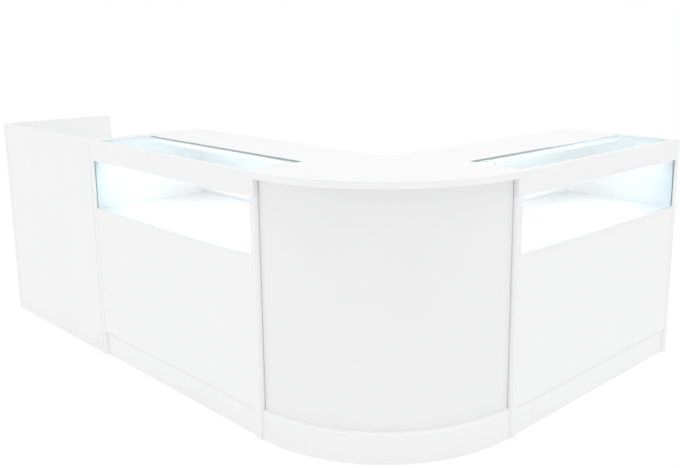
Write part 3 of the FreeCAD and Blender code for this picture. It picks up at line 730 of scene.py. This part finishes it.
def make_curved_plinth():
    low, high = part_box("corner_plinth")
    centre = Vector((low.x, high.y, 0.0))
    outer = high.x - low.x
    inner = outer - PLINTH_THICKNESS
    turns = [QUARTER_TURN * step / ROUNDING_STEPS for step in range(ROUNDING_STEPS + 1)]
    rounded = [(outer - ROUNDING_RADIUS * (1 - math.cos(a)), high.z - ROUNDING_RADIUS * (1 - math.sin(a)))
               for a in turns]
    cove = [(inner + COVE_RADIUS * (1 - math.sin(a)), high.z + COVE_RADIUS * (1 - math.cos(a)))
            for a in turns]
    section = [(inner, low.z), (outer, low.z), *rounded, *cove]
    bm = bmesh.new()
    ring = [bm.verts.new((centre.x, centre.y - radius, z)) for radius, z in section]
    first_cap = bm.faces.new(ring)
    last = bmesh.ops.spin(bm, geom=ring + list(first_cap.edges), cent=centre, axis=(0, 0, 1),
                          angle=QUARTER_TURN, steps=CURVE_STEPS)["geom_last"]
    bmesh.ops.contextual_create(bm, geom=[e for e in last if isinstance(e, bmesh.types.BMEdge)])
    bmesh.ops.recalc_face_normals(bm, faces=bm.faces)
    bm.normal_update()
    for face in bm.faces:
        # the faces that look up get the painted highlight
        face.material_index = 1 if face.normal.z > HIGHLIGHT_RISE else 0
    plinth = keep_piece(bm, "corner_rounded_plinth", [front_laminate, ledge_painted_highlight],
                        slot="white_laminate", smooth_below=SMOOTH_ANGLE)
    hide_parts("corner_plinth")
    return plinth


curved_plinth = make_curved_plinth()
print(curved_plinth.name, len(curved_plinth.data.polygons), "faces")

# %% [markdown]
# ## Glazing tape
# A dark foam tape beds the rear edge of each top pane and the two ends of each front pane.
# Through the glass it shows as the thin dark line that the photograph has on the far edges.

# %% Glazing tape on the glass edges
TAPE, TAPE_WIDTH = 0.0005, 0.004
TAPE_EASE = 0.2


def make_tape(name, low, high, thickness, place=None):
    """A strip of tape, its edges eased by a share of its thickness."""
    bm = bmesh.new()
    add_block(bm, low, high)
    ease(bm, thickness * TAPE_EASE)
    return keep_piece(bm, name, [glazing_tape], place)


for side, place in UNITS.items():
    low, high = unit_box(side, "top_glass")
    top_tape = make_tape(f"{side}_top_glass_tape", (low.x, high.y, low.z),
                         (high.x, high.y + TAPE, high.z - ARRIS), TAPE, place)
    low, high = unit_box(side, "front_glass")
    front = high.y - TAPE_WIDTH
    first_tape = make_tape(f"{side}_front_glass_tape_first", (low.x - TAPE, front, low.z),
                           (low.x, high.y, high.z), TAPE, place)
    last_tape = make_tape(f"{side}_front_glass_tape_last", (high.x, front, low.z),
                          (high.x + TAPE, high.y, high.z), TAPE, place)
    print(top_tape.name, first_tape.name, last_tape.name)

# %% [markdown]
# ## Joint to the till block
# Where the till block is bolted to the first display, the eased edges of the two boards leave
# a fine groove down the front. A thin dark strip with the tape's finish lies in it and makes it a
# thin dark line.

# %% Dark strip in the joint beside the till block
JOINT_WIDTH, JOINT_DEPTH, JOINT_SINK = 0.0016, 0.0004, 0.0001

low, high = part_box("left_display_gable_left")
groove = low.y + JOINT_SINK
# a thin dark strip darkens the groove to a line
joint_dark_strip = make_tape("till_joint_dark_strip", (low.x - JOINT_WIDTH / 2, groove, low.z),
                       (low.x + JOINT_WIDTH / 2, groove + JOINT_DEPTH, high.z - JOINT_SINK),
                       JOINT_DEPTH)
print(joint_dark_strip.name)

# %% [markdown]
# ## Light strips
# Behind each front rail an aluminium channel holds a strip of diodes under a frosted lens.
# It opens to the rear and a little down, so that the back of the display gets as much light
# as the front. Channel and lens are two sections, each drawn out along the unit.

# %% Light channel and lens
CHANNEL_WALL = 0.0014
LENS_LEAN = 0.003
LENS_SEAT = 0.006
LENS_BULGE = 0.0006


def add_profile(bm, points, start, end):
    """A section of (v, z) points, drawn out along u."""
    ring = [bm.verts.new((start, v, z)) for v, z in points]
    section = bm.faces.new(ring)
    drawn = bmesh.ops.extrude_face_region(bm, geom=[section])["geom"]
    moved = [v for v in drawn if isinstance(v, bmesh.types.BMVert)]
    bmesh.ops.translate(bm, verts=moved, vec=(end - start, 0.0, 0.0))
    bmesh.ops.recalc_face_normals(bm, faces=bm.faces)


def make_light(side):
    low, high = unit_box(side, "light_strip")
    lip, web = high.y - LENS_LEAN, low.y + CHANNEL_WALL
    floor_z, roof_z = low.z + CHANNEL_WALL, high.z - CHANNEL_WALL
    bm = bmesh.new()
    add_profile(bm, [(low.y, low.z), (lip, low.z), (lip, floor_z), (web, floor_z), (web, roof_z),
                     (high.y, roof_z), (high.y, high.z), (low.y, high.z)], low.x, high.x)
    channel = keep_piece(bm, f"{side}_light_channel", [satin_aluminium], UNITS[side],
                         slot="satin_aluminium")
    seat, belly = lip - LENS_SEAT, (lip + high.y - LENS_BULGE) / 2
    bm = bmesh.new()
    add_profile(bm, [(seat, floor_z), (lip - LENS_BULGE, floor_z), (belly, (floor_z + roof_z) / 2),
                     (high.y - LENS_BULGE, roof_z), (seat, roof_z)],
                low.x + CHANNEL_WALL, high.x - CHANNEL_WALL)
    lens = keep_piece(bm, f"{side}_light_lens", [lit_lens], UNITS[side], slot="light_diffuser")
    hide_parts(f"{side}_display_light_strip")
    return channel, lens


for side in UNITS:
    print([piece.name for piece in make_light(side)])

# %% [markdown]
# The glow of so thin a lens reaches the camera as noise. So the lens only looks lit, and a
# long thin lamp just clear of it sends out the light of its diodes. The lamp leans down, for
# the deck gets most of a strip's light, and stops short of the gables, where it would draw a
# bright spot.

# %% Lamps of the light strips
STRIP_POWER = 1.75
STRIP_STAND_OFF = 0.001
STRIP_INSET = 0.13
STRIP_LEAN = math.radians(46.0)

for side, place in UNITS.items():
    low, high = unit_box(side, "light_strip")
    strip_data = bpy.data.lights.new(f"{side}_strip_lamp", "AREA")
    strip_data.shape = "RECTANGLE"
    strip_data.size, strip_data.size_y = high.x - low.x - 2 * STRIP_INSET, high.z - low.z
    strip_data.energy = STRIP_POWER
    strip = bpy.data.objects.new(f"{side}_strip_lamp", strip_data)
    middle = Vector(((low.x + high.x) / 2, high.y + STRIP_STAND_OFF, (low.z + high.z) / 2))
    strip.matrix_world = (place @ Matrix.Translation(middle)
                          @ Matrix.Rotation(QUARTER_TURN - STRIP_LEAN, 4, "X"))
    scene.collection.objects.link(strip)
print("strip lamps", STRIP_POWER, "W each")

# %% [markdown]
# ## Glazing beads
# A thin bead of white sealant runs along the sill in front of each front pane. It closes the
# groove that the glass stands in, so no dark slot shows under the window.

# %% Glazing beads on the sills
BEAD_RISE, BEAD_REACH = 0.0024, 0.0026
BEAD_BELLY = 0.38


def make_bead(side):
    """A bead with a hollow front, whose middle point lies at a share of its rise and reach."""
    glass_low, glass_high = unit_box(side, "front_glass")
    sill = unit_box(side, "front_panel")[1].z
    front = glass_low.y - BEAD_REACH
    bm = bmesh.new()
    add_profile(bm, [(front, sill), (glass_low.y, sill), (glass_low.y, sill + BEAD_RISE),
                     (front + BEAD_REACH * BEAD_BELLY, sill + BEAD_RISE * BEAD_BELLY)],
                glass_low.x, glass_high.x)
    return keep_piece(bm, f"{side}_glazing_bead", [white_sealant], UNITS[side])


for side in UNITS:
    print(make_bead(side).name)

# %% [markdown]
# ## Door pulls
# Each sliding door has a round finger hole. On the real door a pressed metal cup lines it:
# a flat rim on the door's face, a wall and a dished floor. It is turned from one outline.

# %% Door pull cups
ALONG_Y = Matrix.Rotation(-QUARTER_TURN, 4, "X")
PULL_INSET = 0.050
PULL_RADIUS, PULL_RIM, PULL_DEPTH = 0.0173, 0.0205, 0.0058
PULL_SHEET = 0.0007
PULL_BORE, PULL_FLOOR = PULL_RADIUS - PULL_SHEET, PULL_SHEET - PULL_DEPTH
DISH_RADIUS, DISH_RISE, DISH_CORNER = 0.01211, 0.00028, 0.0014
RIM_INNER_RISE = 0.00056
PULL_STEPS = 48
CUP_OUTLINE = [
    (0.0, PULL_FLOOR), (DISH_RADIUS, PULL_FLOOR + DISH_RISE), (PULL_BORE, PULL_FLOOR + DISH_CORNER),
    (PULL_BORE, 0.0), (PULL_RADIUS, RIM_INNER_RISE), (PULL_RIM - PULL_SHEET, PULL_SHEET),
    (PULL_RIM, 0.0), (PULL_RADIUS, 0.0), (PULL_RADIUS, -PULL_DEPTH), (0.0, -PULL_DEPTH),
]


def add_turning(bm, outline, place, steps, closed=False):
    """A turned shape: an outline of (radius, distance along z) spun full round, then placed."""
    before = set(bm.verts)
    points = [bm.verts.new((radius, 0.0, along)) for radius, along in outline]
    ends = points[1:] + points[:1] if closed else points[1:]
    edges = [bm.edges.new(pair) for pair in zip(points, ends)]
    bmesh.ops.spin(bm, geom=points + edges, cent=(0, 0, 0), axis=(0, 0, 1), angle=2 * math.pi,
                   steps=steps, use_merge=True)
    bmesh.ops.remove_doubles(bm, verts=[v for v in bm.verts if v not in before], dist=WELD_REACH)
    made = [v for v in bm.verts if v not in before]
    bmesh.ops.transform(bm, matrix=place, verts=made)
    bmesh.ops.recalc_face_normals(bm, faces=list({face for v in made for face in v.link_faces}))


def make_pull(side, hand):
    low, high = unit_box(side, f"door_{hand}")
    u = low.x + PULL_INSET if hand == "left" else high.x - PULL_INSET
    bm = bmesh.new()
    add_turning(bm, CUP_OUTLINE, Matrix.Translation((u, high.y, (low.z + high.z) / 2)) @ ALONG_Y,
                PULL_STEPS)
    return keep_piece(bm, f"{side}_door_{hand}_pull", [satin_aluminium], UNITS[side],
                      body=f"{side}_door_{hand}", slot="satin_aluminium",
                      smooth_below=SMOOTH_ANGLE)


for side in UNITS:
    print([make_pull(side, hand).name for hand in ("left", "right")])

# %% [markdown]
# ## Drawer handle and lock ring
# The till drawer has a bar handle on two posts with flared feet, and a ring round its lock.
# All of them are turned parts on the real drawer, so they are turned here too, on their own
# axes: the bar lies along x, and the posts and the ring point out of the drawer front.

# %% Drawer handle
ALONG_X = Matrix.Rotation(QUARTER_TURN, 4, "Y")
BAR_RADIUS = 0.006
# the bar's rounded end, as radius and distance from the end in bar radii
BAR_END = [(0.0, 0.0), (0.5, 0.07), (0.87, 0.3), (1.0, 0.7)]
POST_RADIUS, POST_NECK, POST_FOOT = 0.0045, 0.0054, 0.0085
FOOT_RISE, NECK_RISE, POST_RISE = 0.0012, 0.0035, 0.007
POST_INSET = 0.020
BAR_STEPS, POST_STEPS = 32, 28


def both_ends(end, half):
    """An outline from one end's (radius, distance from the end), alike at both ends."""
    return ([(radius, depth - half) for radius, depth in end]
            + [(radius, half - depth) for radius, depth in reversed(end)])


def scaled(points, size):
    return [(radius * size, depth * size) for radius, depth in points]


def make_handle():
    low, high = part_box("till_drawer_handle")
    reach = high.y - BAR_RADIUS - low.y
    middle = (low + high) / 2
    bm = bmesh.new()
    add_turning(bm, both_ends(scaled(BAR_END, BAR_RADIUS), (high.x - low.x) / 2),
                Matrix.Translation((middle.x, low.y + reach, middle.z)) @ ALONG_X, BAR_STEPS)
    post = [(0.0, 0.0), (POST_FOOT, 0.0), (POST_FOOT, FOOT_RISE), (POST_NECK, NECK_RISE),
            (POST_RADIUS, POST_RISE), (POST_RADIUS, reach), (0.0, reach)]
    for x in (low.x + POST_INSET, high.x - POST_INSET):
        add_turning(bm, post, Matrix.Translation((x, low.y, middle.z)) @ ALONG_Y, POST_STEPS)
    handle = keep_piece(bm, "till_bar_handle", [satin_aluminium], body="drawer",
                        slot="satin_aluminium", smooth_below=SMOOTH_ANGLE)
    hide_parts("till_drawer_handle")
    return handle


print(make_handle().name)

# %% Lock ring
LOCK_RADIUS, LOCK_PLAY = 0.009, 0.0002
RING_RADIUS, RING_RISE = 0.0125, 0.0018
RING_SHOULDER, SHOULDER_RISE = 0.0119, 0.00126
RING_CROWN = 0.011
RING_STEPS = 40


def make_lock_ring():
    low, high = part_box("till_drawer_lock")
    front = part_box("till_drawer_front")[1].y
    middle = Vector((low.x + LOCK_RADIUS, front, (low.z + high.z) / 2))
    inner = LOCK_RADIUS + LOCK_PLAY
    bm = bmesh.new()
    add_turning(bm, [(inner, 0.0), (RING_RADIUS, 0.0), (RING_SHOULDER, SHOULDER_RISE),
                     (RING_CROWN, RING_RISE), (inner, RING_RISE)],
                Matrix.Translation(middle) @ ALONG_Y, RING_STEPS, closed=True)
    return keep_piece(bm, "till_lock_ring", [plated_steel], body="drawer", slot="plated_steel",
                      smooth_below=SMOOTH_ANGLE)


print(make_lock_ring().name)

# %% [markdown]
# ## Cable grommet
# The hole in the till worktop is lined with a moulded grommet with a rounded lip. It is one
# closed outline, turned round: a sleeve in the hole and a lip that rests on the worktop.

# %% Cable grommet
GROMMET_SLEEVE, GROMMET_BORE = 0.030, 0.027
# the lip's rounding outside and inside, as distance inwards and height in lip heights
LIP_OUTSIDE = [(0.0, 0.35), (0.5, 0.85), (1.2, 1.0)]
LIP_INSIDE = [(1.2, 1.0), (0.4, 0.8), (0.0, 0.2)]
GROMMET_STEPS = 56


def make_grommet():
    low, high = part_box("till_cable_grommet")
    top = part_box("till_worktop")[1].z
    lip, rise = (high.x - low.x) / 2, high.z - top
    middle = Vector(((low.x + high.x) / 2, (low.y + high.y) / 2, 0.0))
    outline = [(GROMMET_BORE, low.z), (GROMMET_SLEEVE, low.z), (GROMMET_SLEEVE, top), (lip, top)]
    outline += [(lip - inwards, top + up) for inwards, up in scaled(LIP_OUTSIDE, rise)]
    outline += [(GROMMET_BORE + inwards, top + up) for inwards, up in scaled(LIP_INSIDE, rise)]
    bm = bmesh.new()
    add_turning(bm, outline, Matrix.Translation(middle), GROMMET_STEPS, closed=True)
    grommet = keep_piece(bm, "till_grommet", [grey_plastic], slot="grey_plastic",
                         smooth_below=SMOOTH_ANGLE)
    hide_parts("till_cable_grommet")
    return grommet


print(make_grommet().name)

# %% [markdown]
# ## Repeated small fittings
# Glides, joining bolts and shelf pins are many alike. Their places are read from the CAD node
# that holds them: each solid of the node is one island of joined triangles, and its box says
# where it is and which way it lies. One shape is then set at every place.

# %% Places of repeated fittings
SORT_DIGITS = 4


def solid_boxes(node_name):
    """The lowest and highest corner of each solid in a node."""
    bm = bmesh.new()
    bm.from_mesh(counter_nodes[node_name].data)
    bmesh.ops.remove_doubles(bm, verts=bm.verts, dist=WELD_REACH)
    boxes, left_over = [], set(bm.verts)
    while left_over:
        island, to_visit = set(), [next(iter(left_over))]
        while to_visit:
            vert = to_visit.pop()
            if vert not in island:
                island.add(vert)
                to_visit += [edge.other_vert(vert) for edge in vert.link_edges]
        left_over -= island
        corners = [v.co.copy() for v in island]
        boxes.append((Vector(map(min, *corners)), Vector(map(max, *corners))))
    bm.free()
    return sorted(boxes, key=lambda box: tuple(round(c, SORT_DIGITS) for c in box[0]))


def lying(low, high):
    """Where a lying round fitting is, as a matrix for its own z axis, and half its length."""
    size = high - low
    turn = ALONG_X if size.x > size.y else ALONG_Y
    return Matrix.Translation((low + high) / 2) @ turn, max(size.x, size.y) / 2


fitting_places = {name: solid_boxes(name) for name in ("floor_glides", "unit_bolts", "shelf_pins")}
print({name: len(boxes) for name, boxes in fitting_places.items()})

# %% [markdown]
# A glide is a moulded foot. Its rim is rounded, so that it doesn't catch on the floor.

# %% Rounded floor glides
# a glide's outline from the floor up, as shares of its radius and its rise
GLIDE_OUTLINE = [(0.0, 0.0), (0.72, 0.0), (0.92, 0.12), (1.0, 0.4), (1.0, 1.0), (0.0, 1.0)]
GLIDE_STEPS = 24


def make_glides():
    bm = bmesh.new()
    for low, high in fitting_places["floor_glides"]:
        middle = (low + high) / 2
        radius, rise = (high.x - low.x) / 2, high.z - low.z
        add_turning(bm, [(radius * out, rise * up) for out, up in GLIDE_OUTLINE],
                    Matrix.Translation((middle.x, middle.y, low.z)), GLIDE_STEPS)
    glides = keep_piece(bm, "rounded_glides", [grey_plastic], slot="grey_plastic",
                        smooth_below=SMOOTH_ANGLE)
    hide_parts("floor_glides")
    return glides


print(make_glides().name)

# %% [markdown]
# Bolts through the gables hold the units together. Shank and heads are one turned outline,
# left open at both ends, and a hexagon socket then closes each head.

# %% Joining bolts with a hexagon socket in each head
BOLT_RADIUS = 0.003
HEAD_RADIUS, HEAD_RISE = 0.007, 0.0025
CROWN_RADIUS, CROWN_RISE = 0.0056, 0.00125
SOCKET_SIDES = 6
SOCKET_RADIUS, SOCKET_DEPTH = 0.0026, 0.0017
BOLT_STEPS = 24
BOLT_END = [(CROWN_RADIUS, 0.0), (HEAD_RADIUS, CROWN_RISE), (HEAD_RADIUS, HEAD_RISE),
            (BOLT_RADIUS, HEAD_RISE)]


def sink_socket(bm, rim, top, depth):
    """A hexagon socket that closes the open rim of a head."""
    socket = bmesh.ops.create_circle(bm, segments=SOCKET_SIDES, radius=SOCKET_RADIUS,
                                     matrix=Matrix.Translation((0.0, 0.0, top)))["verts"]
    mouth = list({e for v in socket for e in v.link_edges})
    bmesh.ops.bridge_loops(bm, edges=rim + mouth)
    sunk = bmesh.ops.extrude_edge_only(bm, edges=mouth)["geom"]
    floor_verts = [v for v in sunk if isinstance(v, bmesh.types.BMVert)]
    bmesh.ops.translate(bm, verts=floor_verts, vec=(0.0, 0.0, depth))
    bmesh.ops.contextual_create(bm, geom=[e for e in sunk if isinstance(e, bmesh.types.BMEdge)
                                          and all(v in floor_verts for v in e.verts)])


def add_bolt(bm, half, place):
    """A bolt along z: a shank between two round heads, with a hexagon socket in each."""
    before = set(bm.verts)
    add_turning(bm, both_ends(BOLT_END, half), Matrix.Identity(4), BOLT_STEPS)
    for way in (1, -1):
        rim = [e for e in bm.edges if e.is_boundary
               and all(v not in before and way * v.co.z > half - CROWN_RISE for v in e.verts)]
        sink_socket(bm, rim, way * half, -way * SOCKET_DEPTH)
    made = [v for v in bm.verts if v not in before]
    bmesh.ops.transform(bm, matrix=place, verts=made)
    bmesh.ops.recalc_face_normals(bm, faces=list({face for v in made for face in v.link_faces}))


def make_bolts():
    bm = bmesh.new()
    for low, high in fitting_places["unit_bolts"]:
        place, half = lying(low, high)
        add_bolt(bm, half, place)
    bolts = keep_piece(bm, "joining_bolts", [plated_steel], slot="plated_steel",
                       smooth_below=SMOOTH_ANGLE)
    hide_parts("unit_bolts")
    return bolts


bolts = make_bolts()
print(bolts.name, len(bolts.data.polygons), "faces")

# %% [markdown]
# Shelf pins are short steel rods. Rounded ends let them slip into their holes.

# %% Shelf pins with rounded ends
# a pin's end, as radius and distance from the end in pin radii
PIN_END = [(0.0, 0.0), (0.6, 0.0), (1.0, 0.4)]
PIN_STEPS = 20


def make_pins():
    bm = bmesh.new()
    for low, high in fitting_places["shelf_pins"]:
        place, half = lying(low, high)
        add_turning(bm, both_ends(scaled(PIN_END, (high.z - low.z) / 2), half), place, PIN_STEPS)
    pins = keep_piece(bm, "shelf_support_pins", [plated_steel], slot="plated_steel",
                      smooth_below=SMOOTH_ANGLE)
    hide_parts("shelf_pins")
    return pins


print(make_pins().name)
